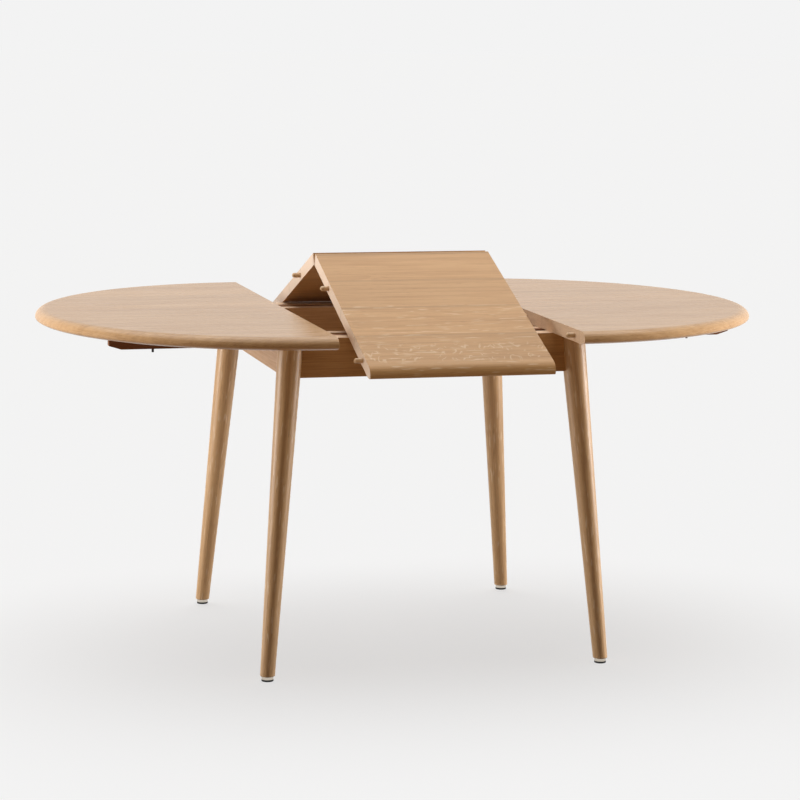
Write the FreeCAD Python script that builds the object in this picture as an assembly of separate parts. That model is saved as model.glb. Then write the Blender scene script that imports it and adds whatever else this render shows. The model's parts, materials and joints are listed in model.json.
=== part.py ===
import FreeCAD, Part
import math
import os

V = FreeCAD.Vector

# A round oak dining table whose two halves slide apart for a folding leaf.
# X runs along the slide, Y from front to back, Z up from the floor, in millimetres.
# It is drawn as it stands while being opened: halves apart, leaf set up as a tent.

# Whole table
table_height = 760
top_radius = 550
top_thickness = 28
top_pull = 265              # how far each half stands out from the middle
leaf_width = 404
leaf_offset = 10            # the loose leaf stands this far right of the middle
leaf_slope_degrees = 20.5   # fall of each leaf panel from the ridge

# Bullnose rim of the halves and of the leaf's outer ends
rim_upper_depth = 24
rim_upper_drop = 18
rim_lower_depth = 34
edge_round = 1              # eased edges
meeting_edge_round = 0.5    # edges where the halves and the leaf meet

# Clearances
slide_gap = 0.4             # under the sliding halves and around the tongues
lane_gap = 0.5              # beside the runners
runner_gap = 1              # between neighbouring runners
rest_gap = 0.3              # between the leaf and what it rests on or meets
joint_gap = 0.1             # in glued joints
hole_gap = 0.05             # around screws, pins and dowels in their own holes
leaf_relief = 0.6           # the leaf is this much thinner than the halves, to clear the runners
overrun = 5                 # cuts run this far past a face
tolerance = 0.001

# Legs and feet
leg_inset = 235             # leg axis from the rim, at the top
leg_splay = 62              # how much further out it stands at the floor
leg_top_diameter = 55
leg_foot_diameter = 32
leg_foot_round = 1.5
foot_pad_diameter = 26
foot_pad_height = 4
foot_pad_round = 1
foot_ring_diameter = 26
foot_ring_height = 7
foot_ring_round = 0.8
foot_stud_diameter = 8
foot_stud_depth = 30        # in the leg
foot_stud_seat = 2.5        # in the pad

# Aprons
apron_thickness = 28
apron_height = 85
tenon_thickness = 10
tenon_reach = 8             # past the leg axis
long_tenon_height = 28
long_tenon_inset = 10       # below the top edge
end_tenon_height = 22
end_tenon_inset = 6         # above the bottom edge

# Runners and the guides that they slide on
runner_width = 20
runner_height = 21
runner_inset = 115          # outer end from the rim
runner_inner = 200          # inner end past the middle, with the table closed
runner_nose = 26            # length of the slanted outer end
runner_nose_land = 13       # upright part of that end
runner_leg_gap = 0.5
tongue_depth = 5
tongue_height = 6
tongue_drop = 9             # middle of the tongue below the halves
groove_margin = 10
outer_guide_height = 39
inner_guide_thickness = 30
inner_guide_height = 64     # leaves room for the folded leaf above the bearers

# Stops that hang from the runners
stop_head_diameter = 5
stop_head_height = 8
stop_shank_diameter = 4
stop_shank_length = 14
opening_stop_gap = 0.5
closing_stop_gap = 9        # the closed top can be centred on the frame

# Bearers that the folded leaf is stored on
bearer_spread = 150
bearer_width = 40
bearer_height = 20
dowel_diameter = 8
dowel_seat = 16

# Corner blocks and leg bolts
block_near = 14             # from the inside corner of the aprons
block_far = 40
block_height = 22
block_gap = 12              # below the stops
bolt_diameter = 8
bolt_depth = 22             # in the leg
bolt_tail = 3
washer_diameter = 18
washer_thickness = 1.6
nut_across_flats = 13
nut_thickness = 6.5
nut_sides = 6

# Wood screws
screw_head_diameter = 8
screw_head_height = 3.5
screw_shank_diameter = 4.5
screw_sink = 4              # heads below the face
runner_screw_sink = 7
runner_screw_bite = 20      # in the half top
runner_screw_count = 4
runner_screw_inset = 75     # from the cut edge
runner_screw_stop_gap = 20  # past the opening stop, where that is further out
runner_screw_end = 40       # from the runner's outer end
guide_screw_bite = 16
guide_screw_inset = 88      # from the guide's ends
guide_screw_drop = 27       # below the top of the guide
block_screw_bite = 12
block_screw_spread = 30     # from the inside corner of the aprons
bearer_screw_bite = 24

# Alignment pins between the halves and the leaf
pin_diameter = 11
pin_reach = 19
pin_seat = 22
pin_tip_round = 5
pin_drop = 14               # axis below the table top
pin_inner = 145             # from the middle
pin_rim_inset = 70          # the outer pins from the rim
pin_hole_spare = 2

# Butt hinges under the leaf
hinge_count = 3
hinge_spacing = 140
hinge_length = 60
hinge_plate_width = 26
hinge_plate_thickness = 2
hinge_axis_drop = 3.5       # pin axis below the leaf
hinge_pin_diameter = 3
hinge_pin_gap = 0.05
knuckle_length = 18
knuckle_gap = 0.4
hinge_screw_diameter = 3.5
hinge_screw_head_diameter = 7
hinge_screw_length = 16
hinge_screw_line = 17       # from the pin axis
hinge_screw_spacing = 20
hinge_screw_count = 3

# Heights above the floor
top_underside = table_height - top_thickness
rail_top = top_underside - slide_gap
apron_bottom = rail_top - apron_height
runner_bottom = top_underside - runner_height
tongue_middle = top_underside - tongue_drop
stop_bottom = runner_bottom - stop_head_height
foot_height = foot_pad_height + foot_ring_height
bearer_top = rail_top - inner_guide_height
bearer_bottom = bearer_top - bearer_height
block_top = stop_bottom - block_gap
block_bottom = block_top - block_height
bolt_level = (block_top + block_bottom) / 2
pin_level = table_height - pin_drop

# Distances from the middle planes, with the table closed
leg_spread = top_radius - leg_inset
runner_outer = top_radius - runner_inset
pin_outer = top_radius - pin_rim_inset
apron_inner = leg_spread - apron_thickness / 2
apron_outer = leg_spread + apron_thickness / 2
leg_inner = leg_spread - leg_top_diameter / 2
outer_guide_face = leg_inner - runner_leg_gap
outer_lane = outer_guide_face - lane_gap - runner_width / 2
inner_lane = outer_lane - runner_width - runner_gap
inner_guide_face = inner_lane - runner_width / 2 - lane_gap
inner_guide_back = inner_guide_face - inner_guide_thickness
lane_half = runner_width / 2 + lane_gap
closing_stop = apron_outer + closing_stop_gap + stop_head_diameter / 2
opening_stop = apron_inner - opening_stop_gap - stop_head_diameter / 2 - top_pull

# Leaf: the underside of each panel rests on the outer top edge of the apron
leaf_thickness = top_thickness - leaf_relief
leaf_slope = math.radians(leaf_slope_degrees)
ridge_lift = apron_outer * math.tan(leaf_slope)
ridge_level = rail_top + ridge_lift - (hinge_axis_drop - rest_gap) / math.cos(leaf_slope)

LEFT, RIGHT = -1, 1
FRONT, BACK = -1, 1
UP = V(0, 0, 1)
CORNERS = {
    "front_left": (LEFT, FRONT),
    "front_right": (RIGHT, FRONT),
    "back_left": (LEFT, BACK),
    "back_right": (RIGHT, BACK),
}
half_turn_degrees = 180
quarter_turn_degrees = 90
full_turn_degrees = 360


# Shapes that many pieces use

def block(corner, opposite):
    """A box between two opposite corners, in any order."""
    low = V(min(corner.x, opposite.x), min(corner.y, opposite.y), min(corner.z, opposite.z))
    size = V(abs(corner.x - opposite.x), abs(corner.y - opposite.y), abs(corner.z - opposite.z))
    return Part.makeBox(size.x, size.y, size.z, low)


def rod(diameter, start, end):
    return Part.makeCylinder(diameter / 2, (end - start).Length, start, end - start)


def eased(shape, radius, chosen):
    """The shape with round edges where the edge's box is one of the chosen."""
    return shape.makeFillet(radius, [edge for edge in shape.Edges if chosen(edge.BoundBox)])


def turned(shape):
    """The same shape, half a turn about the middle of the table."""
    copy = shape.copy()
    copy.rotate(V(0, 0, 0), UP, half_turn_degrees)
    return copy


def wood_screw(seat, direction, length):
    head = rod(screw_head_diameter, seat, seat - direction * screw_head_height)
    return head.fuse(rod(screw_shank_diameter, seat, seat + direction * length))


def wood_screw_hole(seat, direction, length, sink):
    """Room for a wood screw, with its recess open to the face it goes in by."""
    recess = rod(screw_head_diameter + 2 * hole_gap, seat, seat - direction * (sink + overrun))
    shank = rod(screw_shank_diameter + 2 * hole_gap, seat, seat + direction * (length + hole_gap))
    return recess.fuse(shank)


def dowel(middle, direction, gap):
    half = direction * (dowel_seat + gap)
    return rod(dowel_diameter + 2 * gap, middle - half, middle + half)


def rim_curve(radial, vertical, height):
    """A quarter ellipse from the rim's outermost line to the flat face above or below it."""
    centre = V(top_radius - radial, 0, height)
    widest = centre + V(radial, 0, 0)
    level = centre + V(0, 0, vertical)
    longer, shorter = (widest, level) if radial > abs(vertical) else (level, widest)
    ellipse = Part.Ellipse(longer, shorter, centre)
    start, end = sorted([ellipse.parameter(widest), ellipse.parameter(level)])
    if end - start > math.radians(half_turn_degrees):
        start, end = end, start + math.radians(full_turn_degrees)
    return Part.ArcOfEllipse(ellipse, start, end).toShape()


def rim_section(inner, bottom, top):
    """Upright section of a board with a bullnose at the table's rim, in the XZ plane."""
    widest = top - rim_upper_drop
    upper = rim_curve(rim_upper_depth, rim_upper_drop, widest)
    lower = rim_curve(rim_lower_depth, bottom - widest, widest)
    upper_end = V(top_radius - rim_upper_depth, 0, top)
    lower_end = V(top_radius - rim_lower_depth, 0, bottom)
    straight = [
        Part.makeLine(upper_end, V(inner, 0, top)),
        Part.makeLine(V(inner, 0, top), V(inner, 0, bottom)),
        Part.makeLine(V(inner, 0, bottom), lower_end),
    ]
    return Part.Face(Part.Wire(Part.__sortEdges__([upper, lower] + straight)))


# Legs and feet

def leg_axis(x_side, y_side, level):
    out = leg_spread + leg_splay * (rail_top - level) / rail_top
    return V(x_side * out, y_side * out, level)


def leg_cone(x_side, y_side, gap):
    """The leg's taper, run past both ends so that level cuts can trim it."""
    foot = leg_axis(x_side, y_side, foot_height)
    length = (leg_axis(x_side, y_side, rail_top) - foot).Length
    along = (leg_axis(x_side, y_side, rail_top) - foot) / length
    spare = leg_top_diameter / 2
    widening = spare * (leg_top_diameter - leg_foot_diameter) / 2 / length
    thin = leg_foot_diameter / 2 - widening + gap
    thick = leg_top_diameter / 2 + widening + gap
    return Part.makeCone(thin, thick, length + 2 * spare, foot - along * spare, along)


def long_tenon(x_side, y_side, gap):
    """Tenon of the front or back apron in a leg."""
    top = rail_top - long_tenon_inset
    half = tenon_thickness / 2 + gap
    bottom = top - long_tenon_height
    root = V(x_side * (leg_inner - tenon_reach), y_side * (leg_spread - half), bottom - gap)
    tip = V(x_side * (leg_spread + tenon_reach + gap), y_side * (leg_spread + half), top + gap)
    return block(root, tip)


def end_tenon(x_side, y_side, gap):
    """Tenon of an end apron in a leg, below the long apron's."""
    bottom = apron_bottom + end_tenon_inset
    top = bottom + end_tenon_height
    half = tenon_thickness / 2 + gap
    root = V(x_side * (leg_spread - half), y_side * (leg_inner - tenon_reach), bottom - gap)
    tip = V(x_side * (leg_spread + half), y_side * (leg_spread + tenon_reach + gap), top + gap)
    return block(root, tip)


def inward(x_side, y_side):
    """Level direction from a leg to the middle of the table."""
    return V(-x_side, -y_side, 0).normalize()


def bolt_points(x_side, y_side):
    """Inner end of a leg bolt's seat on the corner block, and the bolt's end in the leg."""
    direction = inward(x_side, y_side)
    corner = V(x_side * apron_inner, y_side * apron_inner, bolt_level)
    seat = corner + direction * (block_far / math.sqrt(2))
    axis = leg_axis(x_side, y_side, bolt_level)
    share = (bolt_level - foot_height) / (rail_top - foot_height)
    diameter = leg_foot_diameter + share * (leg_top_diameter - leg_foot_diameter)
    return seat, axis + direction * (diameter / 2 - bolt_depth)


def bolt_hole(x_side, y_side):
    seat, end = bolt_points(x_side, y_side)
    direction = inward(x_side, y_side)
    return rod(bolt_diameter + 2 * hole_gap, seat + direction * overrun, end - direction * hole_gap)


def leg(x_side, y_side):
    reach = leg_spread + leg_splay + leg_top_diameter
    slab = block(V(-reach, -reach, foot_height), V(reach, reach, rail_top))
    shape = leg_cone(x_side, y_side, 0).common(slab)
    shape = eased(shape, leg_foot_round, lambda box: box.ZMax < foot_height + tolerance)
    foot = leg_axis(x_side, y_side, foot_height)
    stud_hole = foot + UP * (foot_stud_depth + hole_gap)
    for cut in (
        long_tenon(x_side, y_side, joint_gap),
        end_tenon(x_side, y_side, joint_gap),
        bolt_hole(x_side, y_side),
        rod(foot_stud_diameter + 2 * hole_gap, foot - UP * overrun, stud_hole),
    ):
        shape = shape.cut(cut)
    return shape


def foot_pieces(x_side, y_side):
    """Pad, ring and threaded stud of one foot."""
    foot = leg_axis(x_side, y_side, foot_height)
    floor = V(foot.x, foot.y, 0)
    pad_top = floor + UP * foot_pad_height
    stud_end = pad_top - UP * foot_stud_seat
    pad = rod(foot_pad_diameter, floor, pad_top)
    pad = eased(pad, foot_pad_round, lambda box: box.ZMax < tolerance)
    pad = pad.cut(rod(foot_stud_diameter + 2 * hole_gap, stud_end, pad_top + UP * overrun))
    ring = rod(foot_ring_diameter, pad_top, foot)
    ring = eased(ring, foot_ring_round, lambda box: box.ZLength < tolerance)
    ring = ring.cut(rod(foot_stud_diameter + 2 * hole_gap, floor, foot + UP * overrun))
    stud = rod(foot_stud_diameter, stud_end, foot + UP * foot_stud_depth)
    return pad, ring, stud


# Corner blocks, their screws and the leg bolts

def corner_point(x_side, y_side, x_back, y_back, level):
    """A point given by its distances from the inside faces of the aprons."""
    return V(x_side * (apron_inner - x_back), y_side * (apron_inner - y_back), level)


def block_screw_places(x_side, y_side):
    """Seat, direction and length of a screw to the long apron and one to the end apron."""
    back = block_far - block_screw_spread
    places = []
    for direction, x_back, y_back in (
        (V(0, y_side, 0), block_screw_spread, back - screw_sink),
        (V(x_side, 0, 0), back - screw_sink, block_screw_spread),
    ):
        seat = corner_point(x_side, y_side, x_back, y_back, bolt_level)
        places.append((seat, direction, back - screw_sink + block_screw_bite))
    return places


def corner_block(x_side, y_side):
    outline = [
        corner_point(x_side, y_side, block_near, 0, block_bottom),
        corner_point(x_side, y_side, block_far, 0, block_bottom),
        corner_point(x_side, y_side, 0, block_far, block_bottom),
        corner_point(x_side, y_side, 0, block_near, block_bottom),
    ]
    shape = Part.Face(Part.makePolygon(outline + outline[:1])).extrude(UP * block_height)
    shape = shape.cut(bolt_hole(x_side, y_side))
    for seat, direction, length in block_screw_places(x_side, y_side):
        shape = shape.cut(wood_screw_hole(seat, direction, length, screw_sink))
    return shape


def leg_bolt(x_side, y_side):
    """Bolt, washer and nut of one leg."""
    direction = inward(x_side, y_side)
    seat, end = bolt_points(x_side, y_side)
    washer_face = seat + direction * washer_thickness
    nut_face = washer_face + direction * nut_thickness
    hole = rod(bolt_diameter + 2 * hole_gap, seat - direction * overrun, nut_face + direction * overrun)
    bolt = rod(bolt_diameter, end, nut_face + direction * bolt_tail)
    washer = rod(washer_diameter, seat, washer_face).cut(hole)
    side = direction.cross(UP)
    turn = math.radians(full_turn_degrees) / nut_sides
    radius = nut_across_flats / 2 / math.cos(turn / 2)
    outline = []
    for corner in range(nut_sides + 1):
        across = side * (radius * math.cos(corner * turn))
        outline.append(washer_face + across + UP * (radius * math.sin(corner * turn)))
    nut = Part.Face(Part.makePolygon(outline)).extrude(direction * nut_thickness).cut(hole)
    return bolt, washer, nut


# Aprons

def guide_screw_places():
    """Seats of the screws that hold the front outer guide to its apron."""
    level = rail_top - guide_screw_drop
    face = -(outer_guide_face + screw_sink)
    spread = outer_guide_face - guide_screw_inset
    return [V(side * spread, face, level) for side in (LEFT, 0, RIGHT)]


guide_screw_length = apron_inner - outer_guide_face - screw_sink + guide_screw_bite


def bearer_dowel(x_side, y_side, gap):
    middle = V(x_side * bearer_spread, y_side * apron_inner, bearer_top - bearer_height / 2)
    return dowel(middle, V(0, 1, 0), gap)


def guide_dowel(x_side, y_side, gap):
    across = inner_guide_face - inner_guide_thickness / 2
    middle = V(x_side * apron_inner, y_side * across, rail_top - inner_guide_height / 2)
    return dowel(middle, V(1, 0, 0), gap)


def front_apron():
    low = V(-leg_spread, -apron_outer, apron_bottom)
    shape = block(low, V(leg_spread, -apron_inner, rail_top))
    shape = eased(shape, edge_round, lambda box: box.XLength > leg_spread and box.ZMax < rail_top)
    for x_side in (LEFT, RIGHT):
        shape = shape.cut(leg_cone(x_side, FRONT, joint_gap))
        shape = shape.fuse(long_tenon(x_side, FRONT, 0))
        shape = shape.cut(bolt_hole(x_side, FRONT))
        shape = shape.cut(bearer_dowel(x_side, FRONT, hole_gap))
        seat, direction, length = block_screw_places(x_side, FRONT)[0]
        shape = shape.cut(wood_screw_hole(seat, direction, length, screw_sink))
    for seat in guide_screw_places():
        shape = shape.cut(wood_screw_hole(seat, V(0, FRONT, 0), guide_screw_length, screw_sink))
    return shape


def left_apron():
    half = apron_inner - joint_gap
    shape = block(V(-apron_outer, -half, apron_bottom), V(-apron_inner, half, rail_top))
    shape = eased(shape, edge_round, lambda box: box.YLength > half and box.ZMax < rail_top)
    floor = runner_bottom - slide_gap
    # The front notch opens to the leg, which stands right beside the outer lane
    for start, end in (
        (-leg_spread, -(outer_lane - lane_half)),
        (inner_lane - lane_half, inner_lane + lane_half),
    ):
        corner = V(-apron_inner + overrun, start, floor)
        shape = shape.cut(block(corner, V(-apron_outer - overrun, end, rail_top + overrun)))
    for y_side in (FRONT, BACK):
        shape = shape.cut(leg_cone(LEFT, y_side, joint_gap))
        shape = shape.fuse(end_tenon(LEFT, y_side, 0))
        shape = shape.cut(bolt_hole(LEFT, y_side))
        shape = shape.cut(guide_dowel(LEFT, y_side, hole_gap))
        seat, direction, length = block_screw_places(LEFT, y_side)[1]
        shape = shape.cut(wood_screw_hole(seat, direction, length, screw_sink))
    return shape


# Guides and bearers

def front_outer_guide():
    """Rail along the inside of the front apron, with a tongue towards the outer lane."""
    low = V(-outer_guide_face, -apron_inner, rail_top - outer_guide_height)
    shape = block(low, V(outer_guide_face, -outer_guide_face, rail_top))
    tongue_low = V(-outer_guide_face, -outer_guide_face, tongue_middle - tongue_height / 2)
    tongue_tip = -(outer_guide_face - tongue_depth)
    tongue = block(tongue_low, V(outer_guide_face, tongue_tip, tongue_middle + tongue_height / 2))
    shape = shape.fuse(tongue).removeSplitter()
    for seat in guide_screw_places():
        shape = shape.cut(wood_screw_hole(seat, V(0, FRONT, 0), guide_screw_length, screw_sink))
    return shape


def bearer_screw_place(x_side, y_side):
    across = inner_guide_face - inner_guide_thickness / 2
    return V(x_side * bearer_spread, y_side * across, bearer_bottom + screw_sink)


bearer_screw_length = bearer_height - screw_sink + bearer_screw_bite


def front_inner_guide():
    """Rail between the end aprons, with a tongue towards the inner lane."""
    low = V(-apron_inner, -inner_guide_face, bearer_top)
    shape = block(low, V(apron_inner, -inner_guide_back, rail_top))
    tongue_low = V(-apron_inner, -inner_guide_face, tongue_middle - tongue_height / 2)
    tongue_tip = -(inner_guide_face + tongue_depth)
    tongue = block(tongue_low, V(apron_inner, tongue_tip, tongue_middle + tongue_height / 2))
    shape = shape.fuse(tongue).removeSplitter()
    for x_side in (LEFT, RIGHT):
        shape = shape.cut(guide_dowel(x_side, FRONT, hole_gap))
        seat = bearer_screw_place(x_side, FRONT)
        shape = shape.cut(wood_screw_hole(seat, UP, bearer_screw_length, screw_sink))
    return shape


def left_bearer():
    low = V(-bearer_spread - bearer_width / 2, -apron_inner, bearer_bottom)
    shape = block(low, V(-bearer_spread + bearer_width / 2, apron_inner, bearer_top))
    for y_side in (FRONT, BACK):
        shape = shape.cut(bearer_dowel(LEFT, y_side, hole_gap))
        seat = bearer_screw_place(LEFT, y_side)
        shape = shape.cut(wood_screw_hole(seat, UP, bearer_screw_length, screw_sink))
    return shape


# Left half: its top, two runners, their screws and stops

def runner_screw_places(lane):
    """Seats of one runner's screws, with the table closed."""
    first = -max(runner_screw_inset, opening_stop + runner_screw_stop_gap)
    last = -(runner_outer - runner_screw_end)
    step = (last - first) / (runner_screw_count - 1)
    level = runner_bottom + runner_screw_sink
    return [V(first + step * index, lane, level) for index in range(runner_screw_count)]


runner_screw_length = runner_height - runner_screw_sink + runner_screw_bite


def stop_places(lane):
    """Seats of one runner's stops, with the table closed."""
    return [V(-closing_stop, lane, runner_bottom), V(-opening_stop, lane, runner_bottom)]


def stop(seat):
    head = rod(stop_head_diameter, seat, seat - UP * stop_head_height)
    return head.fuse(rod(stop_shank_diameter, seat, seat + UP * stop_shank_length))


def runner(lane, grooved_face):
    """A runner of the left half in a lane, with its groove in one of its side faces."""
    front = lane - runner_width / 2
    outline = [
        V(runner_inner, front, runner_bottom),
        V(runner_inner, front, top_underside),
        V(-runner_outer, front, top_underside),
        V(-runner_outer, front, top_underside - runner_nose_land),
        V(-runner_outer + runner_nose, front, runner_bottom),
    ]
    shape = Part.Face(Part.makePolygon(outline + outline[:1])).extrude(V(0, runner_width, 0))
    groove_half = tongue_height / 2 + slide_gap
    outward = math.copysign(1, grooved_face - lane)
    groove_end = -apron_inner - groove_margin
    groove_floor = grooved_face - outward * tongue_depth
    groove = block(
        V(groove_end, groove_floor, tongue_middle - groove_half),
        V(runner_inner + overrun, grooved_face + outward * overrun, tongue_middle + groove_half),
    )
    shape = shape.cut(groove)
    for seat in runner_screw_places(lane):
        shape = shape.cut(wood_screw_hole(seat, UP, runner_screw_length, runner_screw_sink))
    for seat in stop_places(lane):
        end = seat + UP * (stop_shank_length + hole_gap)
        shape = shape.cut(rod(stop_shank_diameter + 2 * hole_gap, seat - UP * overrun, end))
    return shape


def pin_places():
    """Distances of the alignment pins from the middle, front to back."""
    return [-pin_outer, -pin_inner, pin_inner, pin_outer]


def alignment_pin(root, direction):
    """A dowel that stands out of an edge, with a rounded tip."""
    tip = root + direction * pin_reach
    shape = rod(pin_diameter, root - direction * pin_seat, tip)
    return eased(shape, pin_tip_round, lambda box: abs(box.XMax - tip.x) < tolerance)


def pin_seat_hole(root, direction):
    end = root - direction * (pin_seat + hole_gap)
    return rod(pin_diameter + 2 * hole_gap, end, root + direction * overrun)


def pin_entry_hole(root, direction):
    """Hole that a pin slides into."""
    end = root + direction * (pin_reach + pin_hole_spare)
    return rod(pin_diameter + 2 * rest_gap, root - direction * overrun, end)


def half_top():
    """The left half, closed: no pin holes yet."""
    section = rim_section(0, top_underside, table_height)
    section.rotate(V(0, 0, 0), UP, quarter_turn_degrees)
    shape = section.revolve(V(0, 0, 0), UP, half_turn_degrees).removeSplitter()
    shape = eased(shape, meeting_edge_round, lambda box: box.XMin > -tolerance)
    for lane in (-outer_lane, inner_lane):
        for seat in runner_screw_places(lane):
            shape = shape.cut(wood_screw_hole(seat, UP, runner_screw_length, runner_screw_sink))
    return shape


def left_half_top():
    shape = half_top()
    for across in pin_places():
        shape = shape.cut(pin_entry_hole(V(0, across, pin_level), V(LEFT, 0, 0)))
    return shape


def right_half_top():
    shape = turned(half_top())
    for across in pin_places():
        shape = shape.cut(pin_seat_hole(V(0, across, pin_level), V(LEFT, 0, 0)))
    return shape


def pulled(shape, side):
    """A piece of a half, moved from the closed table to where the half stands."""
    copy = shape.copy()
    copy.translate(V(side * top_pull, 0, 0))
    return copy


# Leaf panels and their hinges, drawn flat about the pin axis and then tilted

def tilted(shape, side):
    copy = shape.copy()
    copy.rotate(V(0, 0, 0), V(1, 0, 0), -side * leaf_slope_degrees)
    copy.translate(V(leaf_offset, 0, ridge_level))
    return copy


def leaf_pin_places(side):
    level = hinge_axis_drop + leaf_thickness - pin_drop
    return [V(0, side * pin_inner, level), V(0, side * pin_outer, level)]


def hinge_middles():
    start = -hinge_spacing * (hinge_count - 1) / 2
    return [start + hinge_spacing * index for index in range(hinge_count)]


def hinge_screw_places(side):
    """Points where the hinge screws enter the plates' lower faces."""
    start = -hinge_screw_spacing * (hinge_screw_count - 1) / 2
    level = hinge_axis_drop - hinge_plate_thickness
    places = []
    for middle in hinge_middles():
        for index in range(hinge_screw_count):
            along = middle + start + hinge_screw_spacing * index
            places.append(V(along, side * hinge_screw_line, level))
    return places


def hinge_screw(seat, gap):
    """A countersunk screw, its head flush with the plate."""
    head_radius = hinge_screw_head_diameter / 2 + gap
    shank_radius = hinge_screw_diameter / 2 + gap
    head = Part.makeCone(head_radius, shank_radius, hinge_plate_thickness, seat, UP)
    neck = seat + UP * hinge_plate_thickness
    return head.fuse(rod(2 * shank_radius, neck, seat + UP * (hinge_screw_length + gap)))


def leaf_panel(side):
    section = rim_section(rest_gap, hinge_axis_drop, hinge_axis_drop + leaf_thickness)
    shape = section.extrude(V(0, leaf_width, 0))
    shape.translate(V(0, -leaf_width / 2, 0))
    shape.rotate(V(0, 0, 0), UP, side * quarter_turn_degrees)
    end = leaf_width / 2 - tolerance
    shape = eased(shape, meeting_edge_round, lambda box: box.XMin > end or box.XMax < -end)
    for place in leaf_pin_places(side):
        shape = shape.cut(pin_seat_hole(place + V(LEFT * leaf_width / 2, 0, 0), V(LEFT, 0, 0)))
        shape = shape.cut(pin_entry_hole(place + V(RIGHT * leaf_width / 2, 0, 0), V(LEFT, 0, 0)))
    for seat in hinge_screw_places(side):
        shape = shape.cut(hinge_screw(seat, hole_gap))
    return shape


def hinge_plate(middle, side, knuckles):
    """One plate with its knuckles, given as spans along the pin."""
    clear = hinge_axis_drop + knuckle_gap
    bottom = hinge_axis_drop - hinge_plate_thickness
    low = V(middle - hinge_length / 2, side * clear, bottom)
    shape = block(low, V(middle + hinge_length / 2, side * hinge_plate_width, hinge_axis_drop))
    for start, end in knuckles:
        barrel = rod(2 * (hinge_axis_drop - rest_gap), V(start, 0, 0), V(end, 0, 0))
        tab_top = hinge_axis_drop - rest_gap
        tab = block(V(start, 0, bottom), V(end, side * clear, tab_top))
        shape = shape.fuse(barrel).fuse(tab)
    bore = hinge_pin_diameter + 2 * hinge_pin_gap
    past = hinge_length / 2 + overrun
    return shape.cut(rod(bore, V(middle - past, 0, 0), V(middle + past, 0, 0)))


def hinge_plates(side):
    """All plates of one panel: outer knuckles in front, the middle one at the back."""
    plates = []
    for middle in hinge_middles():
        end = hinge_length / 2
        inner = end - knuckle_length
        outer_spans = [(middle - end, middle - inner), (middle + inner, middle + end)]
        middle_spans = [(middle - inner + knuckle_gap, middle + inner - knuckle_gap)]
        plate = hinge_plate(middle, side, outer_spans if side == FRONT else middle_spans)
        for seat in hinge_screw_places(side):
            plate = plate.cut(hinge_screw(seat, hole_gap))
        plates.append(plate)
    return plates


# The table

pieces = {}

pads, rings, studs, bolts, washers, nuts, block_screws = [], [], [], [], [], [], []
for name, (x_side, y_side) in CORNERS.items():
    pieces["leg_" + name] = leg(x_side, y_side)
    pieces["corner_block_" + name] = corner_block(x_side, y_side)
    pad, ring, stud = foot_pieces(x_side, y_side)
    pads.append(pad)
    rings.append(ring)
    studs.append(stud)
    bolt, washer, nut = leg_bolt(x_side, y_side)
    bolts.append(bolt)
    washers.append(washer)
    nuts.append(nut)
    for seat, direction, length in block_screw_places(x_side, y_side):
        block_screws.append(wood_screw(seat, direction, length))
pieces["foot_pads"] = Part.makeCompound(pads)
pieces["foot_rings"] = Part.makeCompound(rings)
pieces["foot_studs"] = Part.makeCompound(studs)
pieces["leg_bolts"] = Part.makeCompound(bolts)
pieces["leg_bolt_washers"] = Part.makeCompound(washers)
pieces["leg_bolt_nuts"] = Part.makeCompound(nuts)
pieces["corner_block_screws"] = Part.makeCompound(block_screws)

pieces["apron_front"] = front_apron()
pieces["apron_back"] = turned(pieces["apron_front"])
pieces["apron_left"] = left_apron()
pieces["apron_right"] = turned(pieces["apron_left"])
pieces["outer_guide_front"] = front_outer_guide()
pieces["outer_guide_back"] = turned(pieces["outer_guide_front"])
pieces["inner_guide_front"] = front_inner_guide()
pieces["inner_guide_back"] = turned(pieces["inner_guide_front"])
pieces["leaf_bearer_left"] = left_bearer()
pieces["leaf_bearer_right"] = turned(pieces["leaf_bearer_left"])

guide_screws = [wood_screw(seat, V(0, FRONT, 0), guide_screw_length) for seat in guide_screw_places()]
guide_screws += [turned(screw) for screw in guide_screws]
pieces["guide_screws"] = Part.makeCompound(guide_screws)
bearer_screws, dowels = [], []
for x_side, y_side in CORNERS.values():
    bearer_screws.append(wood_screw(bearer_screw_place(x_side, y_side), UP, bearer_screw_length))
    dowels.append(bearer_dowel(x_side, y_side, 0))
    dowels.append(guide_dowel(x_side, y_side, 0))
pieces["leaf_bearer_screws"] = Part.makeCompound(bearer_screws)
pieces["frame_dowels"] = Part.makeCompound(dowels)

pieces["half_top_left"] = pulled(left_half_top(), LEFT)
pieces["half_top_right"] = pulled(right_half_top(), RIGHT)
outer_runner = pulled(runner(-outer_lane, -outer_lane - runner_width / 2), LEFT)
inner_runner = pulled(runner(inner_lane, inner_lane - runner_width / 2), LEFT)
pieces["runner_left_front"] = outer_runner
pieces["runner_left_back"] = inner_runner
pieces["runner_right_back"] = turned(outer_runner)
pieces["runner_right_front"] = turned(inner_runner)
runner_screws, stops = [], []
for lane in (-outer_lane, inner_lane):
    for seat in runner_screw_places(lane):
        runner_screws.append(pulled(wood_screw(seat, UP, runner_screw_length), LEFT))
    for seat in stop_places(lane):
        stops.append(pulled(stop(seat), LEFT))
pieces["runner_screws_left"] = Part.makeCompound(runner_screws)
pieces["runner_screws_right"] = turned(pieces["runner_screws_left"])
pieces["runner_stops_left"] = Part.makeCompound(stops)
pieces["runner_stops_right"] = turned(pieces["runner_stops_left"])
half_pins = [alignment_pin(V(0, across, pin_level), V(LEFT, 0, 0)) for across in pin_places()]
pieces["alignment_pins_right"] = pulled(Part.makeCompound(half_pins), RIGHT)

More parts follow.
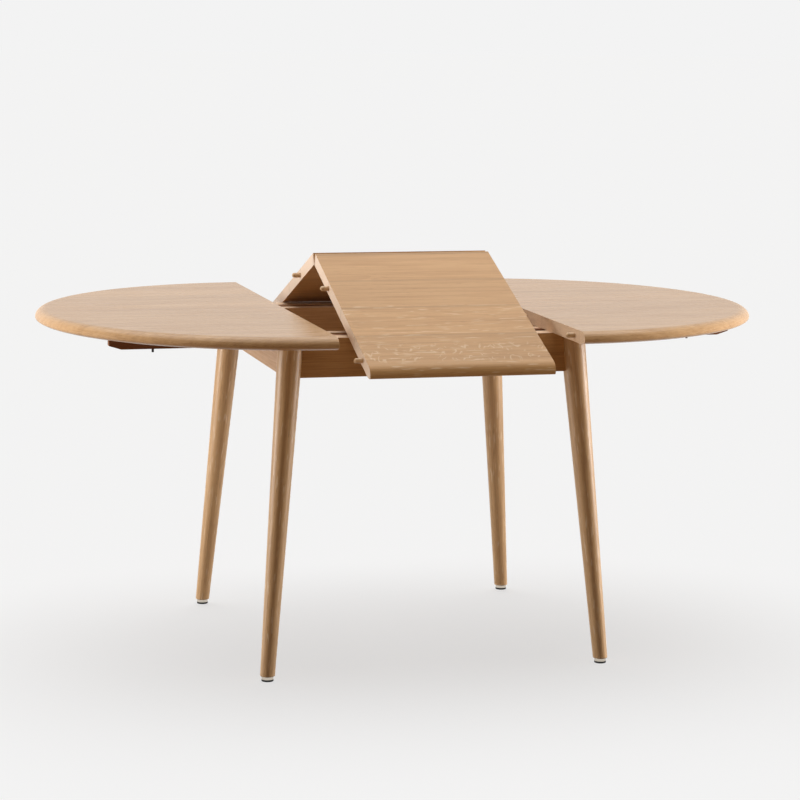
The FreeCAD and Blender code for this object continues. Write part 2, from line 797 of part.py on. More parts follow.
for name, side in (("front", FRONT), ("back", BACK)):
    edge = V(LEFT * leaf_width / 2, 0, 0)
    leaf_pins = [alignment_pin(place + edge, V(LEFT, 0, 0)) for place in leaf_pin_places(side)]
    screws = [hinge_screw(seat, 0) for seat in hinge_screw_places(side)]
    pieces["leaf_panel_" + name] = tilted(leaf_panel(side), side)
    pieces["alignment_pins_leaf_" + name] = tilted(Part.makeCompound(leaf_pins), side)
    pieces["hinge_plates_" + name] = tilted(Part.makeCompound(hinge_plates(side)), side)
    pieces["hinge_screws_" + name] = tilted(Part.makeCompound(screws), side)
ridge_pins = []
for middle in hinge_middles():
    start = V(leaf_offset + middle - hinge_length / 2, 0, ridge_level)
    ridge_pins.append(rod(hinge_pin_diameter, start, start + V(hinge_length, 0, 0)))
pieces["hinge_pins"] = Part.makeCompound(ridge_pins)

os.makedirs("parts", exist_ok=True)
for name, shape in pieces.items():
    shape.exportStep("parts/" + name + ".step")
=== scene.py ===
import bmesh
import bpy
import json
import math
import numpy as np
from mathutils import Matrix, Vector


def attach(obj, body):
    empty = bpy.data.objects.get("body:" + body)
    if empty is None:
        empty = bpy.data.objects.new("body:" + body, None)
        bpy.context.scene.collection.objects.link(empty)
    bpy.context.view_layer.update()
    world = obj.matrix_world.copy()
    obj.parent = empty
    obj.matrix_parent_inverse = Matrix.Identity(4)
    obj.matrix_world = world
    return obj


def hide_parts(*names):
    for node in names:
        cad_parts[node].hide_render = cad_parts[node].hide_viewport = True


# An oak dining table, drawn open, with its folding leaf standing as a tent over the gap.

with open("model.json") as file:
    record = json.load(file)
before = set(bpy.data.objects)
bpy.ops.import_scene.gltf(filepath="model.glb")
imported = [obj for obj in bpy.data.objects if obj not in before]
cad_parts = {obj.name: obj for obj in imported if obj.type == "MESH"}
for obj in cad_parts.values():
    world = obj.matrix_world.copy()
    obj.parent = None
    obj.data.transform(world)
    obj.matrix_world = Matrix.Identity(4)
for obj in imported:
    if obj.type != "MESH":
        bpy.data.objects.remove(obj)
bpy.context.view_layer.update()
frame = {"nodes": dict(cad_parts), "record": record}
nodes = frame["nodes"]
scene = bpy.context.scene

MM = 0.001


def srgb(code):
    """A linear colour, with alpha, from an sRGB hex code."""
    parts = [int(code[i : i + 2], 16) / 255 for i in (1, 3, 5)]
    linear = [p / 12.92 if p <= 0.04045 else ((p + 0.055) / 1.055) ** 2.4 for p in parts]
    return (*linear, 1.0)


def add(tree, kind, inputs=None, **settings):
    """Adds a node with its settings. Each input is a value, a node or socket to link from, or a list
    of these for a socket that takes several."""
    made = tree.nodes.new(kind)
    for name, value in settings.items():
        setattr(made, name, value)
    for key, value in (inputs or {}).items():
        socket = made.inputs[key]
        for source in value if isinstance(value, list) else [value]:
            if isinstance(source, bpy.types.Node):
                source = source.outputs[0]
            if isinstance(source, bpy.types.NodeSocket):
                tree.links.new(source, socket)
            else:
                socket.default_value = source
    return made


def new_material(name):
    """An empty material, and its node tree."""
    material = bpy.data.materials.new(name)
    material.use_nodes = True
    material.node_tree.nodes.clear()
    return material, material.node_tree


# Where the grain runs. Each function turns a point of the table, in millimetres, into a point of a
# board: X along the grain, Y across the boards, Z through the thickness.

LEAF_SLOPE = math.radians(20.5)
LEAF_RIDGE = 851.2             # level of the hinges' axis
LEAF_PANEL_JUMP = 5000         # along the grain, so that the two panels don't look alike
TOP_OF_LEGS = 731.6
LEG_LEAN = 62 / TOP_OF_LEGS    # how far a leg leans out for each unit of its height


def grain_along_x(tree, point):
    return point


def grain_along_y(tree, point):
    quarter_turn = (0, 0, math.radians(90))
    return add(tree, "ShaderNodeMapping", {"Vector": point, "Rotation": quarter_turn})


def grain_of_leaf(tree, point):
    """Both panels are laid flat, and Y counts from the ridge down each of them."""
    split = add(tree, "ShaderNodeSeparateXYZ", {"Vector": point}).outputs
    away = add(tree, "ShaderNodeMath", {0: split["Y"]}, operation="ABSOLUTE")
    side = add(tree, "ShaderNodeMath", {0: split["Y"]}, operation="SIGN")
    moved = {0: side, 1: LEAF_PANEL_JUMP, 2: split["X"]}
    along = add(tree, "ShaderNodeMath", moved, operation="MULTIPLY_ADD")
    fold = add(tree, "ShaderNodeCombineXYZ", {"X": along, "Y": away, "Z": split["Z"]})
    ridge = (0, LEAF_RIDGE * math.sin(LEAF_SLOPE), -LEAF_RIDGE * math.cos(LEAF_SLOPE))
    laid = {"Vector": fold, "Rotation": (LEAF_SLOPE, 0, 0), "Location": ridge}
    return add(tree, "ShaderNodeMapping", laid)


def grain_of_leg(tree, point):
    """Each leg is set upright, so that the grain follows its lean, and turned to lie along X."""
    split = add(tree, "ShaderNodeSeparateXYZ", {"Vector": point}).outputs
    below = add(tree, "ShaderNodeMath", {0: TOP_OF_LEGS, 1: split["Z"]}, operation="SUBTRACT")
    lean = add(tree, "ShaderNodeMath", {0: below, 1: LEG_LEAN}, operation="MULTIPLY")
    upright = []
    for name in ("X", "Y"):
        side = add(tree, "ShaderNodeMath", {0: split[name]}, operation="SIGN")
        shift = add(tree, "ShaderNodeMath", {0: lean, 1: side}, operation="MULTIPLY")
        moved = add(tree, "ShaderNodeMath", {0: split[name], 1: shift}, operation="SUBTRACT")
        upright.append(moved)
    return add(tree, "ShaderNodeCombineXYZ", {"X": split["Z"], "Y": upright[0], "Z": upright[1]})


# Oak, with its sizes in millimetres

BOARD_JUMP = (2100, 0, 340)        # most that a board's pattern is moved, so that boards differ
RING_SPACING = 5.5
RING_WANDER = 34                   # how far the rings leave a straight line
RING_SECTION = (0, 0.42, 1)        # they are flattened across the board, and don't change along it
PORE_RELIEF = 0.2                  # depth
FLECK_CURL = (13, 24, 13)
FLECK_DISTORTION = 0.5
FLECK_RISE, FLECK_FALL = 20, 16    # how softly the band of flecks begins and ends
SQUARE_TO = 0.9                    # least share of a painted-light face's normal along its axis

# Streaks along the grain: their length and width, and the detail of their noise
RING_BENDS = (700, 120, 1)
BROAD_STREAKS = (900, 45, 1)
NARROW_STREAKS = (300, 10, 2)
FIBRES = (110, 2.6, 2)
PORES = (26, 1.5, 1)               # about three times too wide, to show in a picture
SHORT_RAYS = (42, 4.5, 1)
FLECK_PATCHES = (15, 17, 0)

# What a pattern gives from one value to another
BROAD_TONES = {"From Min": 0.25, "From Max": 0.75, "To Min": -0.1, "To Max": 0.2}
NARROW_TONES = {"From Min": 0.25, "From Max": 0.75, "To Min": -0.16, "To Max": 0.28}
FIBRE_TONES = {"From Min": 0.25, "From Max": 0.75, "To Min": -0.18, "To Max": 0.3}
EARLY_WOOD = {"From Min": 0, "From Max": 0.6, "To Min": 1, "To Max": 0.3}
PORE_EDGE = {"From Min": 0.6, "From Max": 0.7}
SHORT_RAY_EDGE = {"From Min": 0.62, "From Max": 0.7}
FLECK_PATCH_EDGE = {"From Min": 0.53, "From Max": 0.61}
FLECK_LINE = {"From Min": 0.02, "From Max": 0.08, "To Min": 1, "To Max": 0}
SEAM_EDGE = {"From Min": 0.008, "From Max": 0.05}
BOARD_TONES = {"From Min": 0, "From Max": 1, "To Min": 0.95, "To Max": 1.04}
# Painted shade on the leaf: its boards darker from the ridge down to the rim
LEAF_BOARD_PAINTED_SHADE = {"From Min": 0, "From Max": 3, "To Min": 1.05, "To Max": 0.93}
FIBRE_ROUGHNESS = {"From Min": 0.2, "From Max": 0.8}
SMOOTHER, ROUGHER = -0.05, 0.07

# How strongly each mark shows
LATE_WOOD_SHARE = 0.18
PORE_SHARE = 0.4
PORE_RELIEF_SHARE = 0.2
SHORT_RAY_SHARE = 0.45
FLECK_SHARE = 0.48
# Painted light: how strongly the paler colour shows on the faces given below
PAINTED_LIGHT_SHARE = 0.8

OAK_RAY = "#ecd5b4"

# Faces painted paler, as painted light in place of the light that falls on them: the axis that they are
# square to, their range along it, and their colour
MEETING_EDGES = ("X", -300, 300, "#e8ccb0")
# The leaf's end faces are paler still: a painted highlight from the side lamp
LEAF_EDGES = ("X", -300, 300, "#f6e2ce")
# The tops of aprons and rails: painted light, for light from above that the tops and the leaf hold off
UPPER_EDGES = ("Z", 700, 800, "#e8ccb0")

# A Mix node's sockets for colours
MIX_SHARE, MIX_FIRST, MIX_SECOND, MIX_RESULT = 0, 6, 7, 2


def streaks(tree, point, length, width, detail):
    """Soft noise, drawn out along the grain."""
    squeeze = (1 / length, 1 / width, 1 / width)
    squeezed = add(tree, "ShaderNodeVectorMath", {0: point, 1: squeeze}, operation="MULTIPLY")
    return add(tree, "ShaderNodeTexNoise", {"Vector": squeezed, "Scale": 1, "Detail": detail})


def short_rays(tree, own, across, rays_from):
    """Pale dashes, beyond a distance across the boards."""
    dashes = add(tree, "ShaderNodeMapRange", {"Value": streaks(tree, own, *SHORT_RAYS), **SHORT_RAY_EDGE})
    here = add(tree, "ShaderNodeMath", {0: across, 1: rays_from}, operation="GREATER_THAN")
    return add(tree, "ShaderNodeMath", {0: dashes, 1: here}, operation="MULTIPLY")


def ray_flecks(tree, own, across, low, high):
    """Thin curled strokes in a band: level lines of a soft noise, kept in scattered patches."""
    squeeze = tuple(1 / size for size in FLECK_CURL)
    curls = add(tree, "ShaderNodeVectorMath", {0: own, 1: squeeze}, operation="MULTIPLY")
    noise = {"Vector": curls, "Scale": 1, "Detail": 0, "Distortion": FLECK_DISTORTION}
    soft = add(tree, "ShaderNodeTexNoise", noise)
    past = add(tree, "ShaderNodeMath", {0: soft, 1: 0.5}, operation="SUBTRACT")
    off_line = add(tree, "ShaderNodeMath", {0: past}, operation="ABSOLUTE")
    line = add(tree, "ShaderNodeMapRange", {"Value": off_line, **FLECK_LINE})
    patches = streaks(tree, own, *FLECK_PATCHES)
    patch = add(tree, "ShaderNodeMapRange", {"Value": patches, **FLECK_PATCH_EDGE})
    begin = {"Value": across, "From Min": low, "From Max": low + FLECK_RISE}
    end = {"Value": across, "From Min": high - FLECK_FALL, "From Max": high, "To Min": 1, "To Max": 0}
    fleck = line
    for limit in (patch, add(tree, "ShaderNodeMapRange", begin), add(tree, "ShaderNodeMapRange", end)):
        fleck = add(tree, "ShaderNodeMath", {0: fleck, 1: limit}, operation="MULTIPLY")
    return fleck


def faces_with_painted_light(tree, place, normal, axis, low, high):
    """Where painted light goes: 1 on the faces that are square to an axis, from low to high along it, and
    0 elsewhere.
    """
    level = add(tree, "ShaderNodeSeparateXYZ", {"Vector": place}).outputs[axis]
    facing = add(tree, "ShaderNodeSeparateXYZ", {"Vector": normal}).outputs[axis]
    either_way = add(tree, "ShaderNodeMath", {0: facing}, operation="ABSOLUTE")
    square = add(tree, "ShaderNodeMath", {0: either_way, 1: SQUARE_TO}, operation="GREATER_THAN")
    above = add(tree, "ShaderNodeMath", {0: level, 1: low}, operation="GREATER_THAN")
    below = add(tree, "ShaderNodeMath", {0: level, 1: high}, operation="LESS_THAN")
    within = add(tree, "ShaderNodeMath", {0: above, 1: below}, operation="MULTIPLY")
    return add(tree, "ShaderNodeMath", {0: within, 1: square}, operation="MULTIPLY")


def oak(
    name, grain, pale, dark, pore,
    board=130, board_shift=-8, last_seam=None, rays_from=None, flecks=None,
    seam_tone=0.93, painted_light=None, roughness=0.42, specular=0.3,
):
    """Planed oak with a matt oil finish: boards of slightly different tone, straight streaks along
    the grain at several widths, and dark pores in short dashes. Wood cut on the quarter also has
    pale dashes beyond rays_from, and pale curled ray flecks in the band that flecks gives. Faces
    square to an axis, in a range along it, can be paler: painted light, for the light that falls
    on them. With last_seam, painted shade darkens the boards towards the last one."""
    material, tree = new_material(name)
    given = add(tree, "ShaderNodeTexCoord").outputs
    place = add(tree, "ShaderNodeVectorMath", {0: given["Object"], "Scale": 1 / MM}, operation="SCALE")
    point = grain(tree, place)
    across = add(tree, "ShaderNodeSeparateXYZ", {"Vector": point}).outputs["Y"]

    # Which board, and its own random numbers
    shifted = add(tree, "ShaderNodeMath", {0: across, 1: board_shift}, operation="ADD")
    if last_seam:
        in_last = last_seam + board_shift + board / 2
        shifted = add(tree, "ShaderNodeMath", {0: shifted, 1: in_last}, operation="MINIMUM")
    counted = add(tree, "ShaderNodeMath", {0: shifted, 1: board}, operation="DIVIDE")
    number = add(tree, "ShaderNodeMath", {0: counted}, operation="FLOOR")
    chance = add(tree, "ShaderNodeTexWhiteNoise", {"W": number}, noise_dimensions="1D").outputs
    jump = add(tree, "ShaderNodeVectorMath", {0: chance["Color"], 1: BOARD_JUMP}, operation="MULTIPLY")
    own = add(tree, "ShaderNodeVectorMath", {0: point, 1: jump}, operation="ADD")

    # Growth rings about a heart below each board, nearly straight along it
    bends = streaks(tree, own, *RING_BENDS)
    bend = add(tree, "ShaderNodeMath", {0: bends, 1: RING_WANDER}, operation="MULTIPLY")
    section = add(tree, "ShaderNodeVectorMath", {0: own, 1: RING_SECTION}, operation="MULTIPLY")
    reach = add(tree, "ShaderNodeVectorMath", {0: section}, operation="LENGTH").outputs["Value"]
    bent = add(tree, "ShaderNodeMath", {0: reach, 1: bend}, operation="ADD")
    rings = add(tree, "ShaderNodeMath", {0: bent, 1: RING_SPACING}, operation="DIVIDE")
    ring = add(tree, "ShaderNodeMath", {0: rings}, operation="FRACT")
    late_wood = add(tree, "ShaderNodeMath", {0: ring, 1: 2}, operation="POWER")

    # How dark the wood is, from its rings and from streaks of all widths
    shade = add(tree, "ShaderNodeMath", {0: late_wood, 1: LATE_WOOD_SHARE}, operation="MULTIPLY")
    fibres = streaks(tree, own, *FIBRES)
    for pattern, tones in (
        (streaks(tree, own, *BROAD_STREAKS), BROAD_TONES),
        (streaks(tree, own, *NARROW_STREAKS), NARROW_TONES),
        (fibres, FIBRE_TONES),
    ):
        change = add(tree, "ShaderNodeMapRange", {"Value": pattern, **tones})
        shade = add(tree, "ShaderNodeMath", {0: shade, 1: change}, operation="ADD")

    # Marks on it: where each of them is, how strongly it shows, and its colour
    dashes = add(tree, "ShaderNodeMapRange", {"Value": streaks(tree, own, *PORES), **PORE_EDGE})
    early_wood = add(tree, "ShaderNodeMapRange", {"Value": ring, **EARLY_WOOD})
    pores = add(tree, "ShaderNodeMath", {0: dashes, 1: early_wood}, operation="MULTIPLY")
    marks = [(pores, PORE_SHARE, pore)]
    if rays_from:
        marks.append((short_rays(tree, own, across, rays_from), SHORT_RAY_SHARE, OAK_RAY))
    if flecks:
        marks.append((ray_flecks(tree, own, across, *flecks), FLECK_SHARE, OAK_RAY))
    # painted light: the given faces paler, in place of the light that falls on them
    if painted_light:
        marks.append((faces_with_painted_light(tree, place, given["Normal"], *painted_light[:3]), PAINTED_LIGHT_SHARE, painted_light[3]))
    wood = {MIX_SHARE: shade, MIX_FIRST: srgb(pale), MIX_SECOND: srgb(dark)}
    colour = add(tree, "ShaderNodeMix", wood, data_type="RGBA").outputs[MIX_RESULT]
    for where, strength, tint in marks:
        share = add(tree, "ShaderNodeMath", {0: where, 1: strength}, operation="MULTIPLY")
        marked = {MIX_SHARE: share, MIX_FIRST: colour, MIX_SECOND: srgb(tint)}
        colour = add(tree, "ShaderNodeMix", marked, data_type="RGBA").outputs[MIX_RESULT]

    # Seams between the boards, and each board's own tone. On the leaf, painted shade also darkens the
    # boards from the ridge down to the rim
    from_seam = add(tree, "ShaderNodeMath", {0: counted, 1: 0.5}, operation="PINGPONG")
    seam = add(tree, "ShaderNodeMapRange", {"Value": from_seam, "To Min": seam_tone, **SEAM_EDGE})
    by_chance = add(tree, "ShaderNodeMapRange", {"Value": chance["Value"], **BOARD_TONES})
    tone = add(tree, "ShaderNodeMath", {0: seam, 1: by_chance}, operation="MULTIPLY")
    # painted shade: the leaf's boards darker from the ridge down to the rim
    if last_seam:
        painted_shade_by_board = add(tree, "ShaderNodeMapRange", {"Value": number, **LEAF_BOARD_PAINTED_SHADE})
        tone = add(tree, "ShaderNodeMath", {0: tone, 1: painted_shade_by_board}, operation="MULTIPLY")
    toned = add(tree, "ShaderNodeHueSaturation", {"Color": colour, "Value": tone})

    # Surface
    limits = {"To Min": roughness + SMOOTHER, "To Max": roughness + ROUGHER, **FIBRE_ROUGHNESS}
    rough = add(tree, "ShaderNodeMapRange", {"Value": fibres, **limits})
    sunk = add(tree, "ShaderNodeMath", {0: pores, 1: -1}, operation="MULTIPLY")
    depth = {"Strength": PORE_RELIEF_SHARE, "Distance": PORE_RELIEF * MM}
    relief = add(tree, "ShaderNodeBump", {"Height": sunk, **depth})
    finish = {"Base Color": toned, "Roughness": rough, "Normal": relief, "Specular IOR Level": specular}
    shader = add(tree, "ShaderNodeBsdfPrincipled", finish)
    add(tree, "ShaderNodeOutputMaterial", {"Surface": shader})
    return material


RUNNERS = [f"runner_{side}_{row}" for side in ("left", "right") for row in ("front", "back")]
WHOLE = {"board": 400, "board_shift": 200}      # a piece cut from one board
SAWN = {"roughness": 0.6, "specular": 0.2, **WHOLE}
ALL_OVER = -1000                                # a distance that every point of a piece is beyond
oak_by_slot = {
    "oak_half_top": oak(
        "oiled_oak_half_top", grain_along_x, "#c9a378", "#9a7047", "#744e2e",
        roughness=0.26, specular=0.2, painted_light=MEETING_EDGES,
    ),
    "oak_leaf": oak(
        "oiled_oak_leaf", grain_of_leaf, "#cba06f", "#a47847", "#7a522d",
        roughness=0.36, specular=0.15, painted_light=LEAF_EDGES,
        last_seam=398, rays_from=258, flecks=(432, 524), seam_tone=0.86,
    ),
    "oak_leg": oak(
        "oiled_oak_leg", grain_of_leg, "#d2ab7d", "#976d42", "#6c482a",
        roughness=0.38, specular=0.4, rays_from=ALL_OVER, **WHOLE,
    ),
    # The long aprons take a darker copy of the oak: painted shade, for the shade under the tops and the
    # leaf
    "oak_long_apron": oak(
        "oiled_oak_long_apron_painted_shade", grain_along_x, "#bf9262", "#8a5f38", "#6b4828",
        specular=0.08, painted_light=UPPER_EDGES, **WHOLE,
    ),
    "oak_end_apron": oak(
        "oiled_oak_end_apron", grain_along_y, "#c69c70", "#a2764b", "#7c5635", painted_light=UPPER_EDGES, **WHOLE,
    ),
    "oak_rail": oak(
        "planed_oak_rail", grain_along_x, "#cca174", "#a4774b", "#7c5635", painted_light=UPPER_EDGES, **SAWN,
    ),
    "oak_bearer": oak("planed_oak_bearer", grain_along_y, "#c49a6d", "#9d7047", "#73502f", **SAWN),
    "oak_block": oak("sawn_oak_block", grain_along_y, "#c49a6d", "#9d7047", "#73502f", **SAWN),
    "dowel_wood": oak("turned_oak_pin", grain_along_x, "#d8ba95", "#b98f66", "#8a6240", **WHOLE),
}
# The runners take a darker copy of the oak: painted shade, for the deep shade under the tops
runner_oak_painted_shade = oak("oak_runner_painted_shade", grain_along_x, "#8f5f3e", "#6a4129", "#4f2f1d", **SAWN)


# Metal and plastic

POLISH_RANGE = (0.7, 1.4)          # how the polish varies, as shares of the roughness
METAL_TONES = {"To Min": 0.9, "To Max": 1.05}
PLASTIC_TONES = {"To Min": 0.8, "To Max": 1.2}
GRIT_RELIEF = {"Strength": 0.2, "Distance": 0.1 * MM}
FINE_DETAIL = 2


def plated_metal(name, colour, roughness, scratch):
    """Plated steel: a fine uneven polish, seen as a slightly blurred and broken highlight."""
    material, tree = new_material(name)
    place = add(tree, "ShaderNodeTexCoord").outputs["Object"]
    noise = {"Vector": place, "Scale": 1 / (scratch * MM), "Detail": FINE_DETAIL}
    fine = add(tree, "ShaderNodeTexNoise", noise)
    smoothest, roughest = (roughness * share for share in POLISH_RANGE)
    rough = add(tree, "ShaderNodeMapRange", {"Value": fine, "To Min": smoothest, "To Max": roughest})
    tone = add(tree, "ShaderNodeMapRange", {"Value": fine, **METAL_TONES})
    toned = add(tree, "ShaderNodeHueSaturation", {"Color": srgb(colour), "Value": tone})
    finish = {"Base Color": toned, "Roughness": rough, "Metallic": 1}
    shader = add(tree, "ShaderNodeBsdfPrincipled", finish)
    add(tree, "ShaderNodeOutputMaterial", {"Surface": shader})
    return material


def moulded_plastic(name, colour, roughness, grit):
    """Moulded plastic with a fine spark-eroded texture, which breaks up its highlight."""
    material, tree = new_material(name)
    place = add(tree, "ShaderNodeTexCoord").outputs["Object"]
    noise = {"Vector": place, "Scale": 1 / (grit * MM), "Detail": FINE_DETAIL}
    fine = add(tree, "ShaderNodeTexNoise", noise)
    tone = add(tree, "ShaderNodeMapRange", {"Value": fine, **PLASTIC_TONES})
    toned = add(tree, "ShaderNodeHueSaturation", {"Color": srgb(colour), "Value": tone})
    relief = add(tree, "ShaderNodeBump", {"Height": fine, **GRIT_RELIEF})
    finish = {"Base Color": toned, "Roughness": roughness, "Normal": relief}
    shader = add(tree, "ShaderNodeBsdfPrincipled", finish)
    add(tree, "ShaderNodeOutputMaterial", {"Surface": shader})
    return material


material_by_slot = {
    **oak_by_slot,
    "zinc_steel": plated_metal("zinc_plated_steel", "#b9b8b2", roughness=0.35, scratch=0.8),
    "hinge_steel": plated_metal("nickel_plated_steel", "#b5aea2", roughness=0.3, scratch=0.8),
    "foot_ring_metal": plated_metal("polished_nickel", "#d9d0c2", roughness=0.14, scratch=1.5),
    "foot_pad_plastic": moulded_plastic("black_nylon", "#0d0d0c", roughness=0.55, grit=0.6),
    "stop_plastic": moulded_plastic("black_nylon_stop", "#0a0a09", roughness=0.65, grit=0.6),
}

for subpart in frame["record"]["subparts"]:
    node = subpart["node"]
    shown = nodes[node].data
    shown.materials.clear()
    shown.materials.append(runner_oak_painted_shade if node in RUNNERS else material_by_slot[subpart["material_slot"]])


# Screws, bolts and nuts, which stand in the places of their plain CAD solids. Sizes are in millimetres.

WOOD_SCREW = {
    "Head Diameter": 8, "Neck Diameter": 8, "Head Height": 3.5, "Shank Diameter": 4.5, "Pitch": 2.2,
}
HINGE_SCREW = {
    "Head Diameter": 7, "Neck Diameter": 3.5, "Head Height": 2, "Shank Diameter": 3.5, "Pitch": 1.6,
}
LEG_BOLT = {"Shank Diameter": 8, "Pitch": 1.25}
LEG_NUT = {"Across Flats": 13, "Thickness": 6.5, "Bore Diameter": 8.1}
RIDGE_SHARE = 0.35             # a thread ridge's radius, as a share of the pitch
POINT_SHARE = 1.3              # a screw point's length, as a share of the shank's diameter
RECESS_REACH = 0.58            # a cross recess's length and width, as shares of the head's diameter
RECESS_WIDTH = 0.13
RECESS_DEPTH = 1.2             # twice its depth, as a share of the head's height
NUT_ROUNDING = 1.05            # radius of the ball that rounds a nut, as a share of its corners'
HEAD_SIDES = 28
SHANK_SIDES = 14
RIDGE_SIDES = 5
BORE_SIDES = 20
BALL_SEGMENTS, BALL_RINGS = 48, 24
TURN_SEED = 11                 # for how far each fastener was turned
SAME_PLACE = 0.001             # corners closer than this are one
SAME_RIM = 0.01                # corners this close to a solid's end are on its rim
CUT_AWAY = {"operation": "DIFFERENCE", "solver": "EXACT"}
KEEP_COMMON = {"operation": "INTERSECT", "solver": "EXACT"}


def fastener_tree(name, sizes, solid):
    """A Geometry Nodes tree that sets what solid makes, up its Z axis, along every point's axis."""
    tree = bpy.data.node_groups.new(name, "GeometryNodeTree")
    tree.interface.new_socket("Points", in_out="INPUT", socket_type="NodeSocketGeometry")
    for size in sizes:
        tree.interface.new_socket(size, in_out="INPUT", socket_type="NodeSocketFloat")
    tree.interface.new_socket("Material", in_out="INPUT", socket_type="NodeSocketMaterial")
    tree.interface.new_socket("Fasteners", in_out="OUTPUT", socket_type="NodeSocketGeometry")
    given = add(tree, "NodeGroupInput").outputs
    axis = add(tree, "GeometryNodeInputNamedAttribute", {"Name": "axis"}, data_type="FLOAT_VECTOR")
    aligned = add(tree, "FunctionNodeAlignRotationToVector", {"Vector": axis}, axis="Z")
    whole_turn = {2: 0.0, 3: math.tau, "Seed": TURN_SEED}
    angle = add(tree, "FunctionNodeRandomValue", whole_turn, data_type="FLOAT").outputs[1]
    spin = add(tree, "FunctionNodeAxisAngleToRotation", {"Axis": (0, 0, 1), "Angle": angle})
    both = {"Rotation": aligned, "Rotate By": spin}
    turned = add(tree, "FunctionNodeRotateRotation", both, rotation_space="LOCAL")
    stood = {"Points": given["Points"], "Instance": solid(tree, given), "Rotation": turned}
    placed = add(tree, "GeometryNodeInstanceOnPoints", stood)
    real = add(tree, "GeometryNodeRealizeInstances", {"Geometry": placed})
    finish = add(tree, "GeometryNodeSetMaterial", {"Geometry": real, "Material": given["Material"]})
    add(tree, "NodeGroupOutput", {"Fasteners": finish})
    return tree


def lifted(tree, mesh, height):
    """A mesh moved up Z."""
    up = add(tree, "ShaderNodeCombineXYZ", {"Z": height})
    return add(tree, "GeometryNodeTransform", {"Geometry": mesh, "Translation": up})


def thread_radii(tree, diameter, pitch):
    """The radius of a thread's core, and that of the ridge round it."""
    radius = add(tree, "ShaderNodeMath", {0: diameter, 1: 2}, operation="DIVIDE")
    ridge = add(tree, "ShaderNodeMath", {0: pitch, 1: RIDGE_SHARE}, operation="MULTIPLY")
    return add(tree, "ShaderNodeMath", {0: radius, 1: ridge}, operation="SUBTRACT"), ridge


def threaded_shank(tree, diameter, length, pitch):
    """A core up Z from the origin, and a ridge that winds round it, to the full diameter."""
    core_radius, ridge_radius = thread_radii(tree, diameter, pitch)
    cylinder = {"Vertices": SHANK_SIDES, "Radius": core_radius, "Depth": length}
    core = add(tree, "GeometryNodeMeshCylinder", cylinder)
    pitches = add(tree, "ShaderNodeMath", {0: length, 1: pitch}, operation="DIVIDE")
    turns = add(tree, "ShaderNodeMath", {0: pitches, 1: 1}, operation="SUBTRACT")
    rise = add(tree, "ShaderNodeMath", {0: turns, 1: pitch}, operation="MULTIPLY")
    helix = {"Start Radius": core_radius, "End Radius": core_radius, "Rotations": turns, "Height": rise}
    winding = add(tree, "GeometryNodeCurveSpiral", {"Resolution": SHANK_SIDES, **helix})
    circle = {"Resolution": RIDGE_SIDES, "Radius": ridge_radius}
    ridge = add(tree, "GeometryNodeCurvePrimitiveCircle", circle)
    swept = {"Curve": winding, "Profile Curve": ridge, "Fill Caps": True}
    thread = add(tree, "GeometryNodeCurveToMesh", swept)
    half_length = add(tree, "ShaderNodeMath", {0: length, 1: 2}, operation="DIVIDE")
    half_pitch = add(tree, "ShaderNodeMath", {0: pitch, 1: 2}, operation="DIVIDE")
    parts = [lifted(tree, core, half_length), lifted(tree, thread, half_pitch)]
    return add(tree, "GeometryNodeJoinGeometry", {"Geometry": parts})


def screw_solid(tree, given):
    """A pointed screw, its neck at the origin: a head with a cross recess, and a threaded shank."""
    across, height = given["Head Diameter"], given["Head Height"]
    head_radius = add(tree, "ShaderNodeMath", {0: across, 1: 2}, operation="DIVIDE")
    neck_radius = add(tree, "ShaderNodeMath", {0: given["Neck Diameter"], 1: 2}, operation="DIVIDE")
    cone = {"Radius Bottom": head_radius, "Radius Top": neck_radius, "Depth": height}
    head = add(tree, "GeometryNodeMeshCone", {"Vertices": HEAD_SIDES, **cone})
    reach = add(tree, "ShaderNodeMath", {0: across, 1: RECESS_REACH}, operation="MULTIPLY")
    width = add(tree, "ShaderNodeMath", {0: across, 1: RECESS_WIDTH}, operation="MULTIPLY")
    depth = add(tree, "ShaderNodeMath", {0: height, 1: RECESS_DEPTH}, operation="MULTIPLY")
    for wide, deep in ((reach, width), (width, reach)):
        size = add(tree, "ShaderNodeCombineXYZ", {"X": wide, "Y": deep, "Z": depth})
        bar = add(tree, "GeometryNodeMeshCube", {"Size": size})
        head = add(tree, "GeometryNodeMeshBoolean", {"Mesh 1": head, "Mesh 2": bar}, **CUT_AWAY)
    below = add(tree, "ShaderNodeMath", {0: height, 1: -1}, operation="MULTIPLY")
    diameter, pitch = given["Shank Diameter"], given["Pitch"]
    point_length = add(tree, "ShaderNodeMath", {0: diameter, 1: POINT_SHARE}, operation="MULTIPLY")
    straight = add(tree, "ShaderNodeMath", {0: given["Length"], 1: point_length}, operation="SUBTRACT")
    core_radius, _ = thread_radii(tree, diameter, pitch)
    tip = {"Radius Bottom": core_radius, "Radius Top": 0, "Depth": point_length}
    point = add(tree, "GeometryNodeMeshCone", {"Vertices": SHANK_SIDES, **tip})
    parts = [
        lifted(tree, head, below),
        threaded_shank(tree, diameter, straight, pitch),
        lifted(tree, point, straight),
    ]
    return add(tree, "GeometryNodeJoinGeometry", {"Geometry": parts})


def bolt_solid(tree, given):
    return threaded_shank(tree, given["Shank Diameter"], given["Length"], given["Pitch"])


